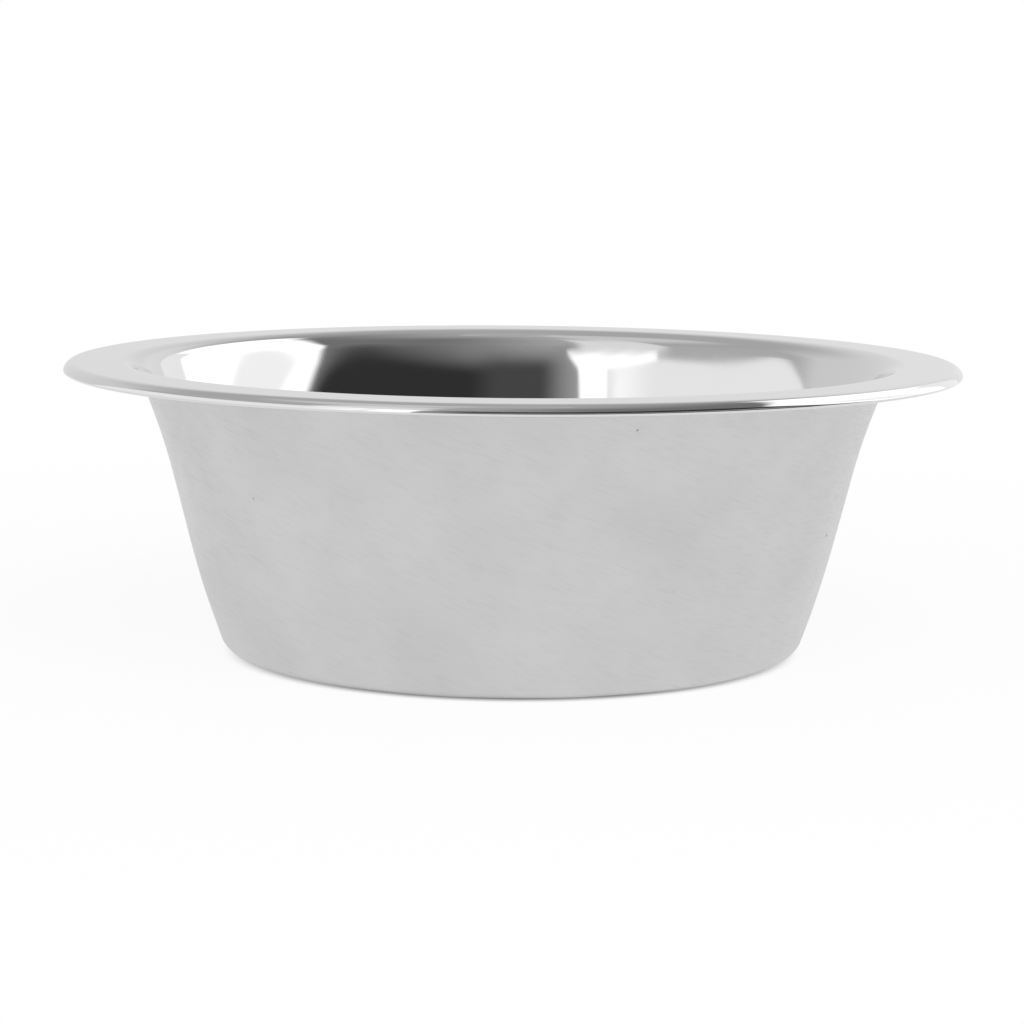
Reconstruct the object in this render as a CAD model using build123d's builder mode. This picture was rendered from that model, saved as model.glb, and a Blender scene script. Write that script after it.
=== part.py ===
"""Stainless dog bowl: one deep-drawn sheet pressing with a rolled edge, on a bonded rubber ring.

Millimetres. The origin is the centre of the circle that the bowl stands on, with +Z up.
Every section is drawn as (radius, height) and turned about the Z axis.
"""

import os
from math import cos, radians, sin, tan

from build123d import *

os.makedirs("parts", exist_ok=True)

# Overall size of the bowl and its sheet
rim_diameter = 250.0  # across the rolled edge
bowl_height = 82.0  # floor to the top of the flange
sheet = 0.6  # thickness of the drawn sheet

# Rim: a level flange whose edge rounds over, then rolls back under in a tight lip
flange_reach = 19.2  # outer edge of the rim in to the line of the wall
mouth_bend = 6.0  # radius of the outer skin where the wall turns into the flange
edge_round = 2.9  # radius of the upper skin where the flange rounds over
edge_turn = 75.0  # how far that round turns the sheet down
lip_hollow = 0.15  # radius inside the lip
lip_turn = 200.0  # how far the lip turns the sheet back under

# Wall: leans out at the foot, steepens over a low belly, then flares to the mouth.
# Each lean is measured from the vertical.
foot_lean = 19.5
middle_lean = 14.0
mouth_lean = 23.0
belly_rise = 19.0  # foot to the corner between the lower and the middle wall
belly_straight = 3.4  # straight wall left between the base bend and that corner's arc
flare_drop = 17.2  # flange down to the corner between the middle and the upper wall
flare_straight = 1.2  # straight wall left between that corner's arc and the mouth bend

# Base: a metal land, and inside it a step up to a flat panel that hides the rubber ring
base_bend = 6.0  # radius of the outer skin where the wall turns into the base
foot_land = 6.0  # width of the land between the base bend and the step
step_slope = 45.0  # of the step, from the horizontal
step_bend = 1.5  # radius of the outer skin at both edges of the step

# Rubber ring bonded under the panel
ring_height = 2.6
ring_width = 9.0
ring_proud = 0.6  # how far the ring stands out below the metal land
ring_clearance = 0.5  # from the ring to the foot of the step's upper bend
ring_edge = 0.8  # radius of the ring's lower edges

# Levels of the outer skin
land_level = ring_proud
panel_level = ring_height
flange_level = bowl_height - sheet

# Centres of the two arcs in the rolled edge
lip_outside = lip_hollow + sheet
lip_offset = edge_round - lip_outside
lip_out = lip_offset * sin(radians(edge_turn))
edge_start = rim_diameter / 2 - lip_outside - lip_out
round_centre = (edge_start, bowl_height - edge_round)
lip_centre = (edge_start + lip_out, round_centre[1] + lip_offset * cos(radians(edge_turn)))

# Corners where the straight runs of the outer skin would meet, worked inwards from the rim
mouth_corner = (rim_diameter / 2 - flange_reach, flange_level)
flare_corner = (mouth_corner[0] - flare_drop * tan(radians(mouth_lean)), flange_level - flare_drop)
belly_level = land_level + belly_rise
middle_run = flare_corner[1] - belly_level
belly_corner = (flare_corner[0] - middle_run * tan(radians(middle_lean)), belly_level)
foot_corner = (belly_corner[0] - belly_rise * tan(radians(foot_lean)), land_level)

base_bend_reach = base_bend * tan(radians(90 - foot_lean) / 2)
step_foot = (foot_corner[0] - base_bend_reach - foot_land, land_level)
step_run = (panel_level - land_level) / tan(radians(step_slope))
step_head = (step_foot[0] - step_run, panel_level)

# Radii of the two long arcs in the wall, from the wall that each takes up on either side of its corner
mouth_bend_reach = mouth_bend * tan(radians(90 - mouth_lean) / 2)
belly_blend = belly_rise / cos(radians(foot_lean)) - base_bend_reach - belly_straight
flare_blend = flare_drop / cos(radians(mouth_lean)) - mouth_bend_reach - flare_straight
belly_radius = belly_blend / tan(radians(foot_lean - middle_lean) / 2)
flare_radius = flare_blend / tan(radians(mouth_lean - middle_lean) / 2)

# Drawn bowl: the outer skin given the sheet's thickness inwards, then the rolled edge
with BuildPart() as steel_bowl:
    with BuildSketch(Plane.XZ):
        with BuildLine():
            FilletPolyline(
                (0, panel_level),
                step_head,
                step_foot,
                foot_corner,
                belly_corner,
                flare_corner,
                mouth_corner,
                (edge_start, flange_level),
                radius=(step_bend, step_bend, base_bend, belly_radius, flare_radius, mouth_bend),
            )
            offset(amount=sheet, side=Side.LEFT)
        make_face()
        with BuildLine():
            upper_round = CenterArc(round_centre, edge_round, 90, -edge_turn)
            upper_lip = CenterArc(lip_centre, lip_outside, 90 - edge_turn, -lip_turn)
            under_round = CenterArc(round_centre, edge_round - sheet, 90, -edge_turn)
            under_lip = CenterArc(lip_centre, lip_hollow, 90 - edge_turn, -lip_turn)
            Line(under_round @ 0, upper_round @ 0)
            Line(under_lip @ 1, upper_lip @ 1)
        make_face()
    revolve(axis=Axis.Z)
steel_bowl.part.label = "steel_bowl"
export_step(steel_bowl.part, "parts/steel_bowl.step")

# Rubber ring: flat against the panel above, with rounded edges on the floor
step_bend_reach = step_bend * tan(radians(step_slope) / 2)
ring_outside = step_head[0] - step_bend_reach - ring_clearance
with BuildPart() as rubber_ring:
    with BuildSketch(Plane.XZ) as ring_section:
        with Locations((ring_outside, 0)):
            Rectangle(ring_width, ring_height, align=(Align.MAX, Align.MIN))
        fillet(ring_section.vertices().group_by(Axis.Y)[0], radius=ring_edge)
    revolve(axis=Axis.Z)
rubber_ring.part.label = "rubber_ring"
export_step(rubber_ring.part, "parts/rubber_ring.step")
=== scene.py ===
"""Stainless dog bowl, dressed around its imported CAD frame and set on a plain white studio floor.

Fields whose names end in _mm are in millimetres, and every other length is in metres.
"""

import logging
import math
from collections.abc import Mapping, Sequence
from dataclasses import dataclass
from enum import Enum

import bpy
from mathutils import Matrix, Vector


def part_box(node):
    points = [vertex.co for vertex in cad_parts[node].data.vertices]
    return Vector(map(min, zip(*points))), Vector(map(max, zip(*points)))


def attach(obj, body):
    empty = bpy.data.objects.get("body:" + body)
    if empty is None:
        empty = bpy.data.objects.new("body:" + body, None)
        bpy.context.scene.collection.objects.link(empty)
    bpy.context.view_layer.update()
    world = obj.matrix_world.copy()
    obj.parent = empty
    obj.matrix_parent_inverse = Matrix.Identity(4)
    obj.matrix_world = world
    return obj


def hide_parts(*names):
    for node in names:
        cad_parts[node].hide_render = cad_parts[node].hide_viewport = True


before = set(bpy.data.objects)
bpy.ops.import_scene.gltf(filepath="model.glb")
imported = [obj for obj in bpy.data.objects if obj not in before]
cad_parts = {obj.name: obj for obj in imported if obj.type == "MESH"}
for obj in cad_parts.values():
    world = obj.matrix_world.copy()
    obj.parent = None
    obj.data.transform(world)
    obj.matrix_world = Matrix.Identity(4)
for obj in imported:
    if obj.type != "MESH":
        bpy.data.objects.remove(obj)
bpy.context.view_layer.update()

BODY = "root"
MM = 0.001
FULL_TURN = 360.0

# A Mix node has a set of sockets for each kind of data under the same names: these are the colours'
MIX_SHARE = 0
MIX_FROM = 6
MIX_TO = 7
MIX_RESULT = 2

log = logging.getLogger("dog_bowl")


def linear(hex_colour: str) -> tuple[float, float, float, float]:
    """Turns an sRGB hex colour into linear RGBA.

    Args:
        hex_colour: six hex digits after a hash, such as "#C8C8C6".

    Returns:
        Linear red, green and blue, and an alpha of 1.
    """
    channels = [int(hex_colour[i : i + 2], 16) / 255 for i in (1, 3, 5)]
    return (*(c / 12.92 if c <= 0.04045 else ((c + 0.055) / 1.055) ** 2.4 for c in channels), 1.0)


def add_node(
    tree: bpy.types.NodeTree,
    kind: str,
    inputs: Mapping[str | int, object] | None = None,
    **settings: object,
) -> bpy.types.Node:
    """Adds one node to a tree, with its settings, values and links.

    Args:
        tree: the shader or geometry tree.
        kind: the node's type name.
        inputs: a value or another node's output socket for each named or numbered input.
        settings: the node's own properties.

    Returns:
        The new node.
    """
    node = tree.nodes.new(kind)
    for name, value in settings.items():
        setattr(node, name, value)
    for key, value in (inputs or {}).items():
        if isinstance(value, bpy.types.NodeSocket):
            tree.links.new(value, node.inputs[key])
        else:
            node.inputs[key].default_value = value
    return node


def new_material(name: str) -> tuple[bpy.types.Material, bpy.types.NodeTree]:
    """Makes an empty node material.

    Args:
        name: the material's name.

    Returns:
        The material and its empty tree.
    """
    material = bpy.data.materials.new(name)
    material.use_nodes = True
    material.node_tree.nodes.clear()
    return material, material.node_tree


@dataclass(frozen=True)
class SatinStainless:
    """Belt-polished stainless sheet: a soft sheen under very fine hairlines, with a few pin marks."""

    colour: str = "#D6D6D6"
    shade: str = "#C4C4C4"
    pin_mark: str = "#6E6C69"
    roughness: float = 0.34
    roughness_spread: float = 0.06
    roughness_range: tuple[float, float] = (0.25, 0.75)  # the part of the noise that it follows
    hairline_mm: float = 0.5  # the real lines are under 0.1 mm: drawn this coarse so that they show
    hairline_length_mm: float = 6.0
    hairline_slope_deg: float = 22.0
    hairline_depth: float = 0.2  # how far a hairline darkens the tone
    hairline_range: tuple[float, float] = (0.52, 0.72)  # the part of their noise that shows as lines
    bump_strength: float = 0.12
    bump_mm: float = 0.02
    cloud_mm: float = 36.0
    tone_range: tuple[float, float] = (0.05, 0.85)  # the tones that take the shade and the full colour
    pin_spacing_mm: float = 16.0
    pin_core_mm: float = 0.288
    pin_edge_mm: float = 0.56
    pin_rarity: float = 0.62  # a cell holds a pin mark where its random number is above this

    def material(self, name: str) -> bpy.types.Material:
        """Builds the finish.

        Args:
            name: the material's name.

        Returns:
            The new material.
        """
        material, tree = new_material(name)
        place = add_node(tree, "ShaderNodeTexCoord").outputs["Object"]
        # Strokes slope down to the right across the front and run level at the sides
        strokes = add_node(
            tree,
            "ShaderNodeMapping",
            {
                "Vector": place,
                "Rotation": (0.0, math.radians(self.hairline_slope_deg), 0.0),
                "Scale": (
                    self.hairline_length_mm * MM,
                    self.hairline_length_mm * MM,
                    self.hairline_mm * MM,
                ),
            },
            vector_type="TEXTURE",
        )
        hairline = add_node(
            tree,
            "ShaderNodeTexNoise",
            {"Vector": strokes.outputs[0], "Scale": 1.0, "Detail": 3.0, "Roughness": 0.6},
        )
        cloud = add_node(
            tree,
            "ShaderNodeTexNoise",
            {"Vector": place, "Scale": 1 / (self.cloud_mm * MM), "Detail": 3.0, "Roughness": 0.55},
        )
        # A pin mark sits in a few of the cells only, whose distances are shares of their spacing
        pins = add_node(
            tree, "ShaderNodeTexVoronoi", {"Vector": place, "Scale": 1 / (self.pin_spacing_mm * MM)}
        )
        near = add_node(
            tree,
            "ShaderNodeMapRange",
            {
                "Value": pins.outputs["Distance"],
                "From Min": self.pin_core_mm / self.pin_spacing_mm,
                "From Max": self.pin_edge_mm / self.pin_spacing_mm,
                "To Min": 1.0,
                "To Max": 0.0,
            },
        )
        chosen = add_node(
            tree,
            "ShaderNodeMath",
            {0: pins.outputs["Color"], 1: self.pin_rarity},
            operation="GREATER_THAN",
        )
        pin = add_node(
            tree, "ShaderNodeMath", {0: near.outputs[0], 1: chosen.outputs[0]}, operation="MULTIPLY"
        )
        scratch = add_node(
            tree,
            "ShaderNodeMapRange",
            {
                "Value": hairline.outputs["Fac"],
                "From Min": self.hairline_range[0],
                "From Max": self.hairline_range[1],
            },
        )
        tone = add_node(
            tree,
            "ShaderNodeMath",
            {0: scratch.outputs[0], 1: -self.hairline_depth, 2: cloud.outputs["Fac"]},
            operation="MULTIPLY_ADD",
        )
        spread = add_node(
            tree,
            "ShaderNodeMapRange",
            {"Value": tone.outputs[0], "From Min": self.tone_range[0], "From Max": self.tone_range[1]},
        )
        sheet = add_node(
            tree,
            "ShaderNodeMix",
            {
                MIX_SHARE: spread.outputs[0],
                MIX_FROM: linear(self.shade),
                MIX_TO: linear(self.colour),
            },
            data_type="RGBA",
        )
        marked = add_node(
            tree,
            "ShaderNodeMix",
            {
                MIX_SHARE: pin.outputs[0],
                MIX_FROM: sheet.outputs[MIX_RESULT],
                MIX_TO: linear(self.pin_mark),
            },
            data_type="RGBA",
        )
        rough = add_node(
            tree,
            "ShaderNodeMapRange",
            {
                "Value": hairline.outputs["Fac"],
                "From Min": self.roughness_range[0],
                "From Max": self.roughness_range[1],
                "To Min": self.roughness - self.roughness_spread,
                "To Max": self.roughness + self.roughness_spread,
            },
        )
        bump = add_node(
            tree,
            "ShaderNodeBump",
            {
                "Strength": self.bump_strength,
                "Distance": self.bump_mm * MM,
                "Height": hairline.outputs["Fac"],
            },
        )
        steel = add_node(
            tree,
            "ShaderNodeBsdfPrincipled",
            {
                "Base Color": marked.outputs[MIX_RESULT],
                "Metallic": 1.0,
                "Roughness": rough.outputs[0],
                "Normal": bump.outputs[0],
            },
        )
        add_node(tree, "ShaderNodeOutputMaterial", {"Surface": steel.outputs[0]})
        return material


@dataclass(frozen=True)
class PolishedStainless:
    """Buffed stainless sheet: a mirror that wavers a little, with faint buffing haze."""

    colour: str = "#DADADA"
    roughness: float = 0.04
    haze: float = 0.05  # how much rougher it is where the haze is full
    haze_mm: float = 18.0
    haze_range: tuple[float, float] = (0.35, 0.75)  # the part of the noise from clear to full haze

    def material(self, name: str) -> bpy.types.Material:
        """Builds the finish.

        Args:
            name: the material's name.

        Returns:
            The new material.
        """
        material, tree = new_material(name)
        place = add_node(tree, "ShaderNodeTexCoord").outputs["Object"]
        haze = add_node(
            tree,
            "ShaderNodeTexNoise",
            {"Vector": place, "Scale": 1 / (self.haze_mm * MM), "Detail": 4.0, "Roughness": 0.6},
        )
        rough = add_node(
            tree,
            "ShaderNodeMapRange",
            {
                "Value": haze.outputs["Fac"],
                "From Min": self.haze_range[0],
                "From Max": self.haze_range[1],
                "To Min": self.roughness,
                "To Max": self.roughness + self.haze,
            },
        )
        steel = add_node(
            tree,
            "ShaderNodeBsdfPrincipled",
            {"Base Color": linear(self.colour), "Metallic": 1.0, "Roughness": rough.outputs[0]},
        )
        add_node(tree, "ShaderNodeOutputMaterial", {"Surface": steel.outputs[0]})
        return material


@dataclass(frozen=True)
class MouldedRubber:
    """Black moulded rubber: dull, with a fine grain from the tool and a grey bloom."""

    colour: str = "#1E1E1E"
    bloom: str = "#2C2C2B"
    roughness: float = 0.72
    roughness_spread: float = 0.1
    grain_mm: float = 0.5
    bump_strength: float = 0.3
    bump_mm: float = 0.1
    bloom_mm: float = 9.0

    def material(self, name: str) -> bpy.types.Material:
        """Builds the finish.

        Args:
            name: the material's name.

        Returns:
            The new material.
        """
        material, tree = new_material(name)
        place = add_node(tree, "ShaderNodeTexCoord").outputs["Object"]
        grain = add_node(
            tree,
            "ShaderNodeTexNoise",
            {"Vector": place, "Scale": 1 / (self.grain_mm * MM), "Detail": 2.0},
        )
        bloom = add_node(
            tree,
            "ShaderNodeTexNoise",
            {"Vector": place, "Scale": 1 / (self.bloom_mm * MM), "Detail": 4.0},
        )
        colour = add_node(
            tree,
            "ShaderNodeMix",
            {
                MIX_SHARE: bloom.outputs["Fac"],
                MIX_FROM: linear(self.colour),
                MIX_TO: linear(self.bloom),
            },
            data_type="RGBA",
        )
        rough = add_node(
            tree,
            "ShaderNodeMapRange",
            {
                "Value": bloom.outputs["Fac"],
                "To Min": self.roughness - self.roughness_spread,
                "To Max": self.roughness + self.roughness_spread,
            },
        )
        bump = add_node(
            tree,
            "ShaderNodeBump",
            {
                "Strength": self.bump_strength,
                "Distance": self.bump_mm * MM,
                "Height": grain.outputs["Fac"],
            },
        )
        rubber = add_node(
            tree,
            "ShaderNodeBsdfPrincipled",
            {
                "Base Color": colour.outputs[MIX_RESULT],
                "Roughness": rough.outputs[0],
                "Normal": bump.outputs[0],
            },
        )
        add_node(tree, "ShaderNodeOutputMaterial", {"Surface": rubber.outputs[0]})
        return material


class Zone(Enum):
    """Which of a turned piece's finishes a stretch of its section wears."""

    MAIN = 0
    POLISHED = 1


@dataclass(frozen=True)
class SkinPoint:
    """A point of a section, in metres, with the unit normal on its left."""

    radius: float
    height: float
    normal: tuple[float, float]

    def moved(self, distance: float) -> tuple[float, float]:
        """Gives the point that lies a distance away along the normal."""
        return self.radius + distance * self.normal[0], self.height + distance * self.normal[1]


def rounded_path(
    corners: Sequence[tuple[float, float]],
    radii: Sequence[float],
    turn_step: float,
    run_step: float,
) -> list[SkinPoint]:
    """Walks along straight runs whose corners are rounded by tangent arcs.

    Args:
        corners: the start, each corner and the end, as (radius, height).
        radii: the arc's radius at each corner.
        turn_step: the largest turn between two points of an arc, in radians.
        run_step: the largest distance between two points.

    Returns:
        The points in order, with exact normals.
    """
    points: list[SkinPoint] = []

    def walk(start: Vector, end: Vector, normal: Vector) -> None:
        """Adds the points of a straight run, without its end.

        Args:
            start: where the run begins.
            end: where it ends.
            normal: the unit normal on its left.
        """
        count = max(1, math.ceil((end - start).length / run_step))
        for i in range(count):
            place = start.lerp(end, i / count)
            points.append(SkinPoint(place.x, place.y, (normal.x, normal.y)))

    here = Vector(corners[0])
    for before, corner, after, radius in zip(corners, corners[1:], corners[2:], radii):
        heading = (Vector(corner) - Vector(before)).normalized()
        leaving = (Vector(after) - Vector(corner)).normalized()
        turn = math.atan2(heading.cross(leaving), heading.dot(leaving))
        reach = radius * math.tan(abs(turn) / 2)
        side = math.copysign(radius, turn)
        normal = Vector((-heading.y, heading.x))
        start = Vector(corner) - heading * reach
        centre = start + normal * side
        walk(here, start, normal)
        count = max(2, math.ceil(max(abs(turn) / turn_step, abs(turn) * radius / run_step)))
        for i in range(count):
            turned = Matrix.Rotation(turn * i / count, 2) @ normal
            place = centre - turned * side
            points.append(SkinPoint(place.x, place.y, (turned.x, turned.y)))
        here = Vector(corner) + leaving * reach
    last = Vector(corners[-1])
    heading = (last - here).normalized()
    normal = Vector((-heading.y, heading.x))
    walk(here, last, normal)
    points.append(SkinPoint(last.x, last.y, (normal.x, normal.y)))
    return points


@dataclass
class Lathe:
    """A geometry tree that turns a section about the Z axis into a closed skin."""

    steps: int = 288
    merge_mm: float = 0.001
    ripple_wave_mm: float = 26.0
    seed: float = 4.0

    def tree(self) -> bpy.types.GeometryNodeTree:
        """Builds the tree: a grid whose rows follow the section's points, bent round the axis and joined.

        Returns:
            The node group, with its sizes, seed and finishes as named inputs.
        """
        tree = bpy.data.node_groups.new("turned_section", "GeometryNodeTree")
        for name, kind in (
            ("Section", "NodeSocketGeometry"),
            ("Steps around", "NodeSocketInt"),
            ("Ripple", "NodeSocketFloat"),
            ("Ripple wave", "NodeSocketFloat"),
            ("Stiff above", "NodeSocketFloat"),
            ("Seed", "NodeSocketFloat"),
            ("Merge distance", "NodeSocketFloat"),
            ("Main finish", "NodeSocketMaterial"),
            ("Polished finish", "NodeSocketMaterial"),
        ):
            tree.interface.new_socket(name, in_out="INPUT", socket_type=kind)
        tree.interface.new_socket("Piece", in_out="OUTPUT", socket_type="NodeSocketGeometry")
        given = add_node(tree, "NodeGroupInput").outputs
        rows = add_node(tree, "GeometryNodeAttributeDomainSize", {0: given["Section"]})
        columns = add_node(
            tree, "ShaderNodeMath", {0: given["Steps around"], 1: 1.0}, operation="ADD"
        ).outputs[0]
        grid = add_node(
            tree,
            "GeometryNodeMeshGrid",
            {"Vertices X": rows.outputs["Point Count"], "Vertices Y": columns},
        )
        index = add_node(tree, "GeometryNodeInputIndex").outputs[0]
        share = add_node(tree, "ShaderNodeMath", {0: index, 1: columns}, operation="DIVIDE").outputs[0]
        row = add_node(tree, "ShaderNodeMath", {0: share}, operation="FLOOR").outputs[0]
        column = add_node(tree, "ShaderNodeMath", {0: index, 1: columns}, operation="MODULO").outputs[0]
        around = add_node(
            tree, "ShaderNodeMath", {0: column, 1: given["Steps around"]}, operation="DIVIDE"
        ).outputs[0]
        # Turned clockwise, so that the faces of a section drawn anticlockwise point outwards
        angle = add_node(
            tree, "ShaderNodeMath", {0: around, 1: -math.tau}, operation="MULTIPLY"
        ).outputs[0]
        place = add_node(tree, "GeometryNodeInputPosition").outputs[0]
        section_point = add_node(
            tree,
            "GeometryNodeSampleIndex",
            {"Geometry": given["Section"], "Value": place, "Index": row},
            data_type="FLOAT_VECTOR",
        ).outputs[0]
        turned = add_node(
            tree,
            "ShaderNodeVectorRotate",
            {"Vector": section_point, "Angle": angle},
            rotation_type="Z_AXIS",
        ).outputs[0]
        polish = add_node(
            tree, "GeometryNodeInputNamedAttribute", {"Name": "polished"}, data_type="FLOAT"
        ).outputs[0]
        polished = add_node(
            tree,
            "GeometryNodeSampleIndex",
            {"Geometry": given["Section"], "Value": polish, "Index": row},
            data_type="FLOAT",
        ).outputs[0]
        skin = add_node(
            tree, "GeometryNodeSetPosition", {"Geometry": grid.outputs["Mesh"], "Position": turned}
        ).outputs[0]
        zoned = add_node(
            tree,
            "GeometryNodeStoreNamedAttribute",
            {"Geometry": skin, "Name": "polished", "Value": polished},
            data_type="FLOAT",
            domain="POINT",
        ).outputs[0]
        closed = add_node(
            tree,
            "GeometryNodeMergeByDistance",
            {"Geometry": zoned, "Distance": given["Merge distance"]},
        ).outputs[0]
        # The slow waver that pressing leaves in a thin sheet, dying out towards the stiff rim
        frequency = add_node(
            tree, "ShaderNodeMath", {0: 1.0, 1: given["Ripple wave"]}, operation="DIVIDE"
        ).outputs[0]
        height = add_node(tree, "ShaderNodeSeparateXYZ", {0: place}).outputs["Z"]
        slack = add_node(
            tree, "ShaderNodeMath", {0: given["Stiff above"], 1: height}, operation="SUBTRACT"
        ).outputs[0]
        loose = add_node(
            tree,
            "ShaderNodeMapRange",
            {
                "Value": slack,
                "From Min": 0.0,
                "From Max": given["Ripple wave"],
                "To Min": 0.0,
                "To Max": given["Ripple"],
            },
            interpolation_type="SMOOTHSTEP",
        ).outputs[0]
        waver = add_node(
            tree,
            "ShaderNodeTexNoise",
            {"Vector": place, "W": given["Seed"], "Scale": frequency, "Detail": 1.0},
            noise_dimensions="4D",
        ).outputs["Fac"]
        centred = add_node(tree, "ShaderNodeMath", {0: waver, 1: 0.5}, operation="SUBTRACT").outputs[0]
        depth = add_node(
            tree, "ShaderNodeMath", {0: centred, 1: loose}, operation="MULTIPLY"
        ).outputs[0]
        outward = add_node(
            tree,
            "ShaderNodeVectorMath",
            {0: add_node(tree, "GeometryNodeInputNormal").outputs[0], "Scale": depth},
            operation="SCALE",
        ).outputs[0]
        rippled = add_node(
            tree, "GeometryNodeSetPosition", {"Geometry": closed, "Offset": outward}
        ).outputs[0]
        smooth = add_node(tree, "GeometryNodeSetShadeSmooth", {"Geometry": rippled}).outputs[0]
        real = add_node(tree, "GeometryNodeRealizeInstances", {"Geometry": smooth}).outputs[0]
        main = add_node(
            tree, "GeometryNodeSetMaterial", {"Geometry": real, "Material": given["Main finish"]}
        ).outputs[0]
        stored = add_node(
            tree, "GeometryNodeInputNamedAttribute", {"Name": "polished"}, data_type="FLOAT"
        ).outputs[0]
        chosen = add_node(
            tree, "ShaderNodeMath", {0: stored, 1: 0.5}, operation="GREATER_THAN"
        ).outputs[0]
        both = add_node(
            tree,
            "GeometryNodeSetMaterial",
            {"Geometry": main, "Selection": chosen, "Material": given["Polished finish"]},
        ).outputs[0]
        add_node(tree, "NodeGroupOutput", {0: both})
        return tree

    def turn(
        self,
        name: str,
        section: Sequence[tuple[float, float, Zone]],
        finishes: Mapping[Zone, bpy.types.Material],
        ripple: float,
        stiff_above: float,
        shared: bpy.types.GeometryNodeTree,
    ) -> bpy.types.Object:
        """Turns one section into a plain mesh object.

        Args:
            name: the piece's name.
            section: the points of the section, as radius, height and finish.
            finishes: the material of each zone.
            ripple: how far the sheet wavers, in metres.
            stiff_above: the height at which it no longer does.
            shared: the tree from tree().

        Returns:
            The finished object, at the origin and with no modifier.
        """
        drawn = bpy.data.meshes.new(f"{name}_section")
        points = [(radius, 0.0, height) for radius, height, _ in section]
        drawn.from_pydata(points, [(i, i + 1) for i in range(len(points) - 1)], [])
        flags = drawn.attributes.new("polished", "FLOAT", "POINT")
        flags.data.foreach_set("value", [float(zone is Zone.POLISHED) for _, _, zone in section])
        piece = bpy.data.objects.new(name, drawn)
        bpy.context.scene.collection.objects.link(piece)
        lathe = piece.modifiers.new("lathe", "NODES")
        lathe.node_group = shared
        values = {
            "Steps around": self.steps,
            "Ripple": ripple,
            "Ripple wave": self.ripple_wave_mm * MM,
            "Stiff above": stiff_above,
            "Seed": self.seed,
            "Merge distance": self.merge_mm * MM,
            "Main finish": finishes[Zone.MAIN],
            "Polished finish": finishes.get(Zone.POLISHED, finishes[Zone.MAIN]),
        }
        for item in shared.interface.items_tree:
            if item.name in values:
                lathe[item.identifier] = values[item.name]
        graph = bpy.context.evaluated_depsgraph_get()
        mesh = bpy.data.meshes.new_from_object(piece.evaluated_get(graph), depsgraph=graph)
        mesh.name = name
        # The grid comes with an empty first slot
        mesh.materials.pop(index=0)
        piece.modifiers.remove(lathe)
        piece.data = mesh
        bpy.data.meshes.remove(drawn)
        return piece


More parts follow.
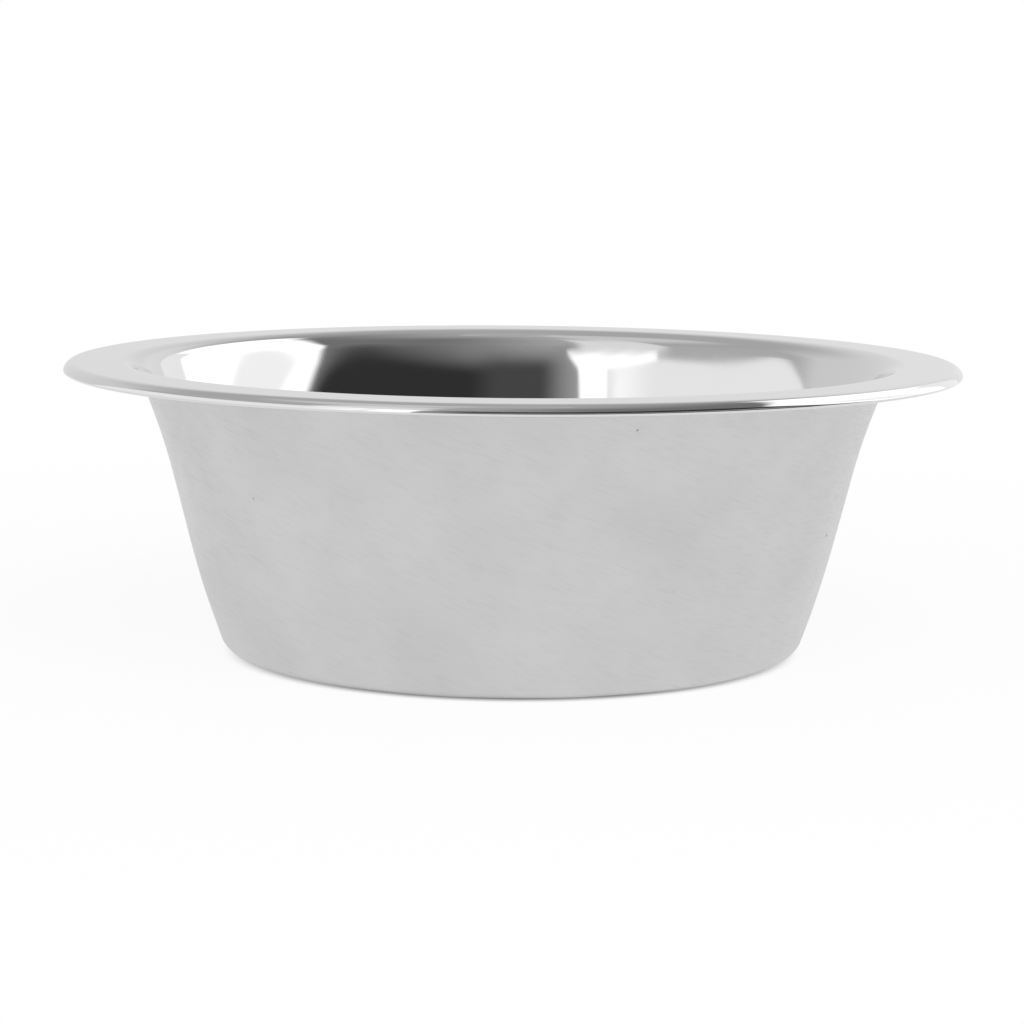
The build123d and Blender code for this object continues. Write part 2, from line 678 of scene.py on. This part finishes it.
@dataclass
class SteelBowl:
    """The drawn steel bowl. Its rim, top and foot come from the frame.

    Angles are in degrees, and each lean is measured from the vertical.
    """

    rim_radius: float
    top: float
    foot: float
    sheet_mm: float = 0.6
    flange_reach_mm: float = 19.2
    mouth_bend_mm: float = 6.0
    edge_round_mm: float = 2.9
    edge_turn: float = 75.0
    lip_hollow_mm: float = 0.15
    lip_turn: float = 200.0
    foot_lean: float = 19.5
    middle_lean: float = 14.0
    mouth_lean: float = 23.0
    belly_rise_mm: float = 19.0
    belly_straight_mm: float = 3.4
    flare_drop_mm: float = 17.2
    flare_straight_mm: float = 1.2
    base_bend_mm: float = 6.0
    foot_land_mm: float = 6.0
    step_slope: float = 45.0
    step_bend_mm: float = 1.5
    panel_rise_mm: float = 2.0
    turn_step_deg: float = 3.0
    lip_step_deg: float = 8.0
    run_step_mm: float = 4.0
    ripple_mm: float = 0.4  # the noise's full range, which it uses half of: about 0.1 mm either way

    def edge_centres(self) -> tuple[Vector, Vector]:
        """Finds the centres of the two arcs in the rolled edge.

        Returns:
            The centre of the wide round and that of the tight lip, as (radius, height).
        """
        lip = (self.lip_hollow_mm + self.sheet_mm) * MM
        offset = self.edge_round_mm * MM - lip
        turn = math.radians(self.edge_turn)
        step = Vector((offset * math.sin(turn), offset * math.cos(turn)))
        wide = Vector((self.rim_radius - lip - step.x, self.top - self.edge_round_mm * MM))
        return wide, wide + step

    def skin(self) -> list[SkinPoint]:
        """Lays out the outer skin from the axis to the start of the rolled edge.

        Returns:
            The skin's points, with normals towards the inside of the bowl.
        """
        flange = self.top - self.sheet_mm * MM
        panel = self.foot + self.panel_rise_mm * MM
        mouth = (self.rim_radius - self.flange_reach_mm * MM, flange)
        drop = self.flare_drop_mm * MM
        flare = (mouth[0] - drop * math.tan(math.radians(self.mouth_lean)), flange - drop)
        belly_height = self.foot + self.belly_rise_mm * MM
        middle = (flare[1] - belly_height) * math.tan(math.radians(self.middle_lean))
        belly = (flare[0] - middle, belly_height)
        lean = math.tan(math.radians(self.foot_lean))
        corner = (belly[0] - self.belly_rise_mm * MM * lean, self.foot)
        bend_reach = self.base_bend_mm * MM * math.tan(math.radians(90 - self.foot_lean) / 2)
        step_foot = (corner[0] - bend_reach - self.foot_land_mm * MM, self.foot)
        step_run = self.panel_rise_mm * MM / math.tan(math.radians(self.step_slope))
        step_head = (step_foot[0] - step_run, panel)
        mouth_reach = self.mouth_bend_mm * MM * math.tan(math.radians(90 - self.mouth_lean) / 2)
        belly_run = self.belly_rise_mm * MM / math.cos(math.radians(self.foot_lean))
        belly_blend = belly_run - bend_reach - self.belly_straight_mm * MM
        flare_run = drop / math.cos(math.radians(self.mouth_lean))
        flare_blend = flare_run - mouth_reach - self.flare_straight_mm * MM
        return rounded_path(
            corners=[
                (0.0, panel),
                step_head,
                step_foot,
                corner,
                belly,
                flare,
                mouth,
                (self.edge_centres()[0].x, flange),
            ],
            radii=[
                self.step_bend_mm * MM,
                self.step_bend_mm * MM,
                self.base_bend_mm * MM,
                belly_blend / math.tan(math.radians(self.foot_lean - self.middle_lean) / 2),
                flare_blend / math.tan(math.radians(self.mouth_lean - self.middle_lean) / 2),
                self.mouth_bend_mm * MM,
            ],
            turn_step=math.radians(self.turn_step_deg),
            run_step=self.run_step_mm * MM,
        )

    def rolled_edge(self) -> list[SkinPoint]:
        """Lays out the hollow side of the rolled edge, from the flange round to the cut end.

        Returns:
            The points after the flange's end, with normals away from the hollow.
        """
        wide, lip = self.edge_centres()
        # Each arc's centre and radius, the angle that it starts at, its turn and its step
        arcs = (
            (wide, (self.edge_round_mm - self.sheet_mm) * MM, 90.0, self.edge_turn, self.turn_step_deg),
            (lip, self.lip_hollow_mm * MM, 90.0 - self.edge_turn, self.lip_turn, self.lip_step_deg),
        )
        points = []
        for centre, radius, start, turn, step in arcs:
            count = math.ceil(turn / step)
            for i in range(1, count + 1):
                angle = math.radians(start - turn * i / count)
                away = Vector((math.cos(angle), math.sin(angle)))
                place = centre + away * radius
                points.append(SkinPoint(place.x, place.y, (away.x, away.y)))
        return points

    def section(self) -> list[tuple[float, float, Zone]]:
        """Closes the sheet's section: out along the outer skin, round the cut end and back inside.

        Returns:
            Radius, height and finish of each point, from the axis back to the axis.
        """
        path = self.skin() + self.rolled_edge()
        outer = [(point.radius, point.height, Zone.MAIN) for point in path]
        inner = [(*point.moved(self.sheet_mm * MM), Zone.POLISHED) for point in reversed(path)]
        return outer + inner

    def build(
        self,
        lathe: Lathe,
        shared: bpy.types.GeometryNodeTree,
        finishes: Mapping[Zone, bpy.types.Material],
    ) -> bpy.types.Object:
        """Makes the bowl, in place of its CAD node.

        Args:
            lathe: what turns the section.
            shared: the lathe's tree.
            finishes: the material of each zone.

        Returns:
            The bowl's object.
        """
        piece = lathe.turn(
            "drawn_bowl",
            self.section(),
            finishes,
            ripple=self.ripple_mm * MM,
            stiff_above=self.top - self.mouth_bend_mm * MM,
            shared=shared,
        )
        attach(piece, BODY)
        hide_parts("steel_bowl")
        return piece


@dataclass
class RubberRing:
    """The rubber ring bonded under the base panel. Its outside and height come from the frame."""

    outside: float
    low: float
    top: float
    width_mm: float = 9.0
    edge_mm: float = 0.8
    top_edge_mm: float = 0.05  # the bonded edges are all but sharp
    turn_step_deg: float = 15.0
    run_step_mm: float = 3.0

    def section(self) -> list[tuple[float, float, Zone]]:
        """Lays out the ring's section: a flat bar with two rounded lower edges.

        Returns:
            Radius, height and finish of each point, ending where it began.
        """
        inside = self.outside - self.width_mm * MM
        middle = self.outside - self.width_mm / 2 * MM
        path = rounded_path(
            corners=[
                (middle, self.top),
                (inside, self.top),
                (inside, self.low),
                (self.outside, self.low),
                (self.outside, self.top),
                (middle, self.top),
            ],
            radii=[
                self.top_edge_mm * MM,
                self.edge_mm * MM,
                self.edge_mm * MM,
                self.top_edge_mm * MM,
            ],
            turn_step=math.radians(self.turn_step_deg),
            run_step=self.run_step_mm * MM,
        )
        return [(point.radius, point.height, Zone.MAIN) for point in path]

    def build(
        self,
        lathe: Lathe,
        shared: bpy.types.GeometryNodeTree,
        finishes: Mapping[Zone, bpy.types.Material],
    ) -> bpy.types.Object:
        """Makes the ring, in place of its CAD node.

        Args:
            lathe: what turns the section.
            shared: the lathe's tree.
            finishes: the material of its one zone.

        Returns:
            The ring's object.
        """
        piece = lathe.turn(
            "foot_ring",
            self.section(),
            finishes,
            ripple=0.0,
            stiff_above=self.top,
            shared=shared,
        )
        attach(piece, BODY)
        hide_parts("rubber_ring")
        return piece


def smooth_step(value: float) -> float:
    """Eases a value from 0 to 1, and holds it beyond either end."""
    share = min(max(value, 0.0), 1.0)
    return share * share * (3 - 2 * share)


@dataclass(frozen=True)
class Card:
    """A curved card round the bowl, out of the camera's sight, that the steel shows.

    Its angles are in degrees, seen from the middle of the mouth. Azimuths run from the camera's side
    to the right.
    """

    name: str
    tone: float  # its brightness, with 1 for plain white
    azimuths: tuple[float, float]
    elevations: tuple[float, float]
    soft: tuple[float, float, float] = (2.0, 2.0, 2.0)  # how far the sides, the top and the foot fade
    top_fall: float = 0.0  # how much lower its top is at the first azimuth
    corners: tuple[float, float] = (0.0, 0.0)  # how far each top corner is rounded
    leans: tuple[float, float] = (0.0, 0.0)  # how far each side comes in for every degree below the top
    grid: float = 1.0  # the largest distance between two of its points

    def cover(self, azimuth: float, elevation: float) -> float:
        """Tells how much of the card there is at a place on it.

        Args:
            azimuth: the place's azimuth.
            elevation: the place's elevation.

        Returns:
            1 on the card, easing to 0 at its edges.
        """
        first, last = self.azimuths
        low, high = self.elevations
        soft_side, soft_top, soft_foot = self.soft
        top = high - self.top_fall * (last - azimuth) / (last - first)
        inside = math.inf
        for reach, lean, corner in zip((azimuth - first, last - azimuth), self.leans, self.corners):
            inside = min(inside, reach - lean * (high - elevation))
            if reach < corner:
                top -= corner - math.sqrt(max(reach * (2 * corner - reach), 0.0))
        # A card that goes all the way round has no sides
        side = smooth_step(inside / soft_side) if last - first < FULL_TURN else 1.0
        head = smooth_step((top - elevation) / soft_top)
        foot = smooth_step((elevation - low) / soft_foot)
        return side * head * foot

    def build(self, middle: float, distance: float, material: bpy.types.Material) -> None:
        """Sets up the card.

        Args:
            middle: the height of the mouth, in metres.
            distance: how far off the card stands, in metres.
            material: the cards' shared material.
        """
        first, last = self.azimuths
        low, high = self.elevations
        columns = math.ceil((last - first) / self.grid) + 1
        rows = math.ceil((high - low) / self.grid) + 1
        points = []
        covers = []
        for row in range(rows):
            elevation = low + (high - low) * row / (rows - 1)
            for column in range(columns):
                azimuth = first + (last - first) * column / (columns - 1)
                covers.append(self.cover(azimuth, elevation))
                out = distance * math.cos(math.radians(elevation))
                points.append(
                    (
                        out * math.sin(math.radians(azimuth)),
                        -out * math.cos(math.radians(azimuth)),
                        middle + distance * math.sin(math.radians(elevation)),
                    )
                )
        faces = []
        for row in range(rows - 1):
            for column in range(columns - 1):
                corner = row * columns + column
                faces.append((corner, corner + 1, corner + columns + 1, corner + columns))
        mesh = bpy.data.meshes.new(self.name)
        mesh.from_pydata(points, [], faces)
        for attribute, values in (("cover", covers), ("tone", [self.tone] * len(points))):
            mesh.attributes.new(attribute, "FLOAT", "POINT").data.foreach_set("value", values)
        mesh.materials.append(material)
        card = bpy.data.objects.new(self.name, mesh)
        bpy.context.scene.collection.objects.link(card)
        # The card glows by its tone as a painted reflection: the steel shows it, but it lights nothing,
        # casts no shadow and is hidden from the camera
        card.visible_camera = False
        card.visible_diffuse = False
        card.visible_shadow = False


@dataclass
class Studio:
    """The plain white floor, the surrounding white, the cards, the soft lamp and the camera."""

    mouth: float
    floor_radius: float = 0.65
    floor_sides: int = 96
    paper: str = "#F2F2F2"
    white: str = "#FFFFFF"
    # How white the floor is near the bowl: to the camera, in the steel, and under the base
    seen_near: float = 0.92
    shown_near: float = 0.72
    shown_under: float = 0.5
    # How far from the middle of the floor that changes
    base_reach: float = 0.069
    foot_reach: float = 0.072
    near_reach: float = 0.082
    far_reach: float = 0.60
    surround: float = 0.5  # the strength of the light from all round
    lamp_size: float = 1.2
    lamp_place: tuple[float, float, float] = (0.4, -1.5, 1.4)
    lamp_watts: float = 32.0
    # The camera is fitted to the bowl's outlines in the photograph
    camera_distance: float = 0.850
    camera_height: float = 0.15682
    camera_pitch_deg: float = 7.915
    camera_roll_deg: float = 0.465
    focal_pixels: float = 3037.1
    image_pixels: float = 1024.0
    sensor_mm: float = 36.0
    card_nearest: float = 7.0
    card_spacing: float = 0.3
    # From the furthest to the nearest
    cards: tuple[Card, ...] = (
        Card("grey_tent", 0.52, (-180.0, 180.0), (-14.0, 98.0), grid=4.0),
        Card("left_high", 0.76, (-130.0, -30.0), (50.0, 88.0), (20.0, 8.0, 14.0), grid=3.0),
        Card("left_mid", 0.55, (-150.0, -50.0), (-14.0, 46.0), (14.0, 8.0, 2.0), grid=2.0),
        Card("back_wall", 0.80, (136.0, 250.0), (-14.0, 46.0), (14.0, 26.0, 2.0), grid=3.0),
        Card("dark_haze", 0.22, (-32.0, 180.0), (-14.0, 90.0), (70.0, 36.0, 2.0), grid=3.0),
        Card(
            "left_wall",
            1.10,
            (-130.0, -38.0),
            (-14.0, 39.1),
            (2.0, 1.4, 2.0),
            top_fall=16.9,
            corners=(30.0, 12.0),
            grid=0.5,
        ),
        Card("dark_flag", 0.038, (-23.5, 81.5), (-14.0, 40.7), (1.5, 6.5, 2.0), corners=(0.0, 29.0)),
        Card("dim_flag", 0.08, (-36.0, 18.0), (-14.0, 42.0), (14.0, 7.5, 2.0)),
        Card("left_spill", 0.38, (-40.0, -9.5), (-14.0, 43.0), (14.0, 4.0, 2.0)),
        Card("front_band", 0.36, (-23.5, 78.0), (7.5, 24.5), (1.5, 3.0, 2.5), corners=(0.0, 14.0)),
        Card("left_glow", 0.95, (-62.0, -22.0), (34.0, 74.0), (6.0, 24.0, 4.0), grid=2.0),
        Card("softbox_side", 1.35, (-56.0, -24.0), (-14.0, 37.0), (19.0, 2.0, 2.0)),
        Card(
            "softbox_head",
            1.55,
            (-55.6, -19.2),
            (34.5, 40.2),
            (1.2, 1.0, 1.0),
            top_fall=3.3,
            leans=(0.0, 1.1),
        ),
        Card("left_softbox", 1.55, (-36.3, -24.1), (-14.0, 38.0), (1.2, 2.0, 2.0)),
        Card("right_fall", 0.90, (130.0, 178.0), (-14.0, 50.0), (14.0, 30.0, 2.0), grid=2.0),
        Card(
            "right_softbox",
            1.55,
            (55.6, 151.5),
            (-14.0, 57.6),
            (3.0, 5.0, 2.0),
            corners=(63.0, 14.0),
            leans=(0.68, 0.0),
        ),
        Card("right_edge", 1.08, (137.4, 153.0), (-14.0, 27.0), (1.2, 3.0, 2.0), corners=(0.0, 8.0)),
        Card(
            "right_diffuser",
            1.23,
            (81.5, 121.5),
            (-14.0, 30.8),
            (2.0, 1.5, 2.0),
            corners=(0.0, 32.0),
            leans=(1.1, 0.0),
        ),
    )

    def seen_white(self, tree: bpy.types.NodeTree) -> bpy.types.NodeSocket:
        """Tells whether a ray shows what it meets: straight to the camera, or by way of something shiny.

        Args:
            tree: the material's or the world's tree.

        Returns:
            A socket that is 1 for such a ray.
        """
        ray = add_node(tree, "ShaderNodeLightPath").outputs
        shiny = add_node(
            tree,
            "ShaderNodeMath",
            {0: ray["Is Glossy Ray"], 1: ray["Is Transmission Ray"]},
            operation="MAXIMUM",
        ).outputs[0]
        return add_node(
            tree, "ShaderNodeMath", {0: ray["Is Camera Ray"], 1: shiny}, operation="MAXIMUM"
        ).outputs[0]

    def build_floor(self) -> None:
        """Lays the floor: white paper that keeps a shadow near the bowl, and is clear from below."""
        edge = []
        for i in range(self.floor_sides):
            turn = math.tau * i / self.floor_sides
            edge.append((self.floor_radius * math.cos(turn), self.floor_radius * math.sin(turn), 0.0))
        mesh = bpy.data.meshes.new("floor")
        mesh.from_pydata(edge, [], [tuple(range(self.floor_sides))])
        floor = bpy.data.objects.new("floor", mesh)
        bpy.context.scene.collection.objects.link(floor)
        material, tree = new_material("white_paper")
        paper = add_node(tree, "ShaderNodeBsdfDiffuse", {"Color": linear(self.paper)}).outputs[0]
        white = add_node(
            tree, "ShaderNodeEmission", {"Color": linear(self.white), "Strength": 1.0}
        ).outputs[0]
        place = add_node(tree, "ShaderNodeTexCoord").outputs["Object"]
        reach = add_node(tree, "ShaderNodeVectorMath", {0: place}, operation="LENGTH").outputs["Value"]
        # The camera sees a whiter floor near the bowl than the steel shows
        direct = add_node(tree, "ShaderNodeLightPath").outputs["Is Camera Ray"]
        near = add_node(
            tree,
            "ShaderNodeMapRange",
            {"Value": direct, "To Min": self.shown_near, "To Max": self.seen_near},
        ).outputs[0]
        whiteness = add_node(
            tree,
            "ShaderNodeMapRange",
            {
                "Value": reach,
                "From Min": self.near_reach,
                "From Max": self.far_reach,
                "To Min": near,
                "To Max": 1.0,
            },
            interpolation_type="SMOOTHSTEP",
        ).outputs[0]
        # Round the foot there is only paper in the dark, and under the base enough light to see by
        clear_of_foot = add_node(
            tree,
            "ShaderNodeMapRange",
            {
                "Value": reach,
                "From Min": self.foot_reach,
                "From Max": self.near_reach,
                "To Min": 0.0,
                "To Max": whiteness,
            },
            interpolation_type="SMOOTHSTEP",
        ).outputs[0]
        under_base = add_node(
            tree,
            "ShaderNodeMapRange",
            {
                "Value": reach,
                "From Min": self.base_reach,
                "From Max": self.foot_reach,
                "To Min": self.shown_under,
                "To Max": 0.0,
            },
            interpolation_type="SMOOTHSTEP",
        ).outputs[0]
        lit = add_node(
            tree, "ShaderNodeMath", {0: clear_of_foot, 1: under_base}, operation="ADD"
        ).outputs[0]
        share = add_node(
            tree, "ShaderNodeMath", {0: self.seen_white(tree), 1: lit}, operation="MULTIPLY"
        ).outputs[0]
        top = add_node(tree, "ShaderNodeMixShader", {0: share, 1: paper, 2: white}).outputs[0]
        clear = add_node(tree, "ShaderNodeBsdfTransparent").outputs[0]
        below = add_node(tree, "ShaderNodeNewGeometry").outputs["Backfacing"]
        surface = add_node(tree, "ShaderNodeMixShader", {0: below, 1: top, 2: clear}).outputs[0]
        add_node(tree, "ShaderNodeOutputMaterial", {"Surface": surface})
        mesh.materials.append(material)

    def build_surround(self) -> None:
        """Fills the world with white for the eye and a plain level of light for everything else."""
        world = bpy.data.worlds.new("white_surround")
        bpy.context.scene.world = world
        world.use_nodes = True
        tree = world.node_tree
        tree.nodes.clear()
        strength = add_node(
            tree,
            "ShaderNodeMapRange",
            {"Value": self.seen_white(tree), "To Min": self.surround, "To Max": 1.0},
        ).outputs[0]
        white = add_node(
            tree, "ShaderNodeBackground", {"Color": linear(self.white), "Strength": strength}
        ).outputs[0]
        add_node(tree, "ShaderNodeOutputWorld", {"Surface": white})

    def build_cards(self) -> None:
        """Sets up the cards, all in one material that each card's own tone and cover drive."""
        material, tree = new_material("studio_card")
        material.cycles.emission_sampling = "NONE"
        cover = add_node(tree, "ShaderNodeAttribute", attribute_name="cover").outputs["Fac"]
        tone = add_node(tree, "ShaderNodeAttribute", attribute_name="tone").outputs["Fac"]
        clear = add_node(tree, "ShaderNodeBsdfTransparent").outputs[0]
        lit = add_node(tree, "ShaderNodeEmission", {"Strength": tone}).outputs[0]
        surface = add_node(tree, "ShaderNodeMixShader", {0: cover, 1: clear, 2: lit}).outputs[0]
        add_node(tree, "ShaderNodeOutputMaterial", {"Surface": surface})
        for order, card in enumerate(reversed(self.cards)):
            card.build(self.mouth, self.card_nearest + self.card_spacing * order, material)

    def build_lamp(self) -> None:
        """Hangs a wide soft lamp in front and above, for the shadow on the floor."""
        data = bpy.data.lights.new("front_lamp", "AREA")
        data.shape = "SQUARE"
        data.size = self.lamp_size
        data.energy = self.lamp_watts
        lamp = bpy.data.objects.new("front_lamp", data)
        bpy.context.scene.collection.objects.link(lamp)
        lamp.location = self.lamp_place
        lamp.rotation_euler = Vector(self.lamp_place).to_track_quat("Z", "Y").to_euler()
        lamp.visible_camera = False
        lamp.visible_glossy = False

    def build_camera(self) -> None:
        """Sets the camera at the photograph's angle."""
        data = bpy.data.cameras.new("camera")
        data.sensor_width = self.sensor_mm
        data.lens = self.focal_pixels / self.image_pixels * self.sensor_mm
        camera = bpy.data.objects.new("camera", data)
        bpy.context.scene.collection.objects.link(camera)
        camera.matrix_world = (
            Matrix.Translation((0.0, -self.camera_distance, self.camera_height))
            @ Matrix.Rotation(math.radians(90 - self.camera_pitch_deg), 4, "X")
            @ Matrix.Rotation(math.radians(self.camera_roll_deg), 4, "Z")
        )
        bpy.context.scene.camera = camera

    def build(self) -> None:
        """Builds the whole studio."""
        self.build_floor()
        self.build_surround()
        self.build_cards()
        self.build_lamp()
        self.build_camera()
        bpy.context.scene.view_settings.view_transform = "Standard"


def write_size() -> None:
    """Updates the view layer, so that every piece's placement is current."""
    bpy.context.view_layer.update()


def main() -> None:
    """Builds the bowl, its ring and the studio, and reports each piece."""
    logging.basicConfig(level=logging.INFO, format="%(name)s: %(message)s")
    lathe = Lathe()
    shared = lathe.tree()
    steel = {
        Zone.MAIN: SatinStainless().material("satin_stainless_steel"),
        Zone.POLISHED: PolishedStainless().material("polished_stainless_steel"),
    }
    rubber = {Zone.MAIN: MouldedRubber().material("moulded_black_rubber")}
    bowl_low, bowl_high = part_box("steel_bowl")
    ring_low, ring_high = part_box("rubber_ring")
    pieces = [
        SteelBowl(rim_radius=bowl_high.x, top=bowl_high.z, foot=bowl_low.z).build(lathe, shared, steel),
        RubberRing(outside=ring_high.x, low=ring_low.z, top=ring_high.z).build(lathe, shared, rubber),
    ]
    for piece in pieces:
        log.info("%s: %d faces", piece.name, len(piece.data.polygons))
    Studio(mouth=bowl_high.z).build()
    write_size()


if __name__ == "__main__":
    main()
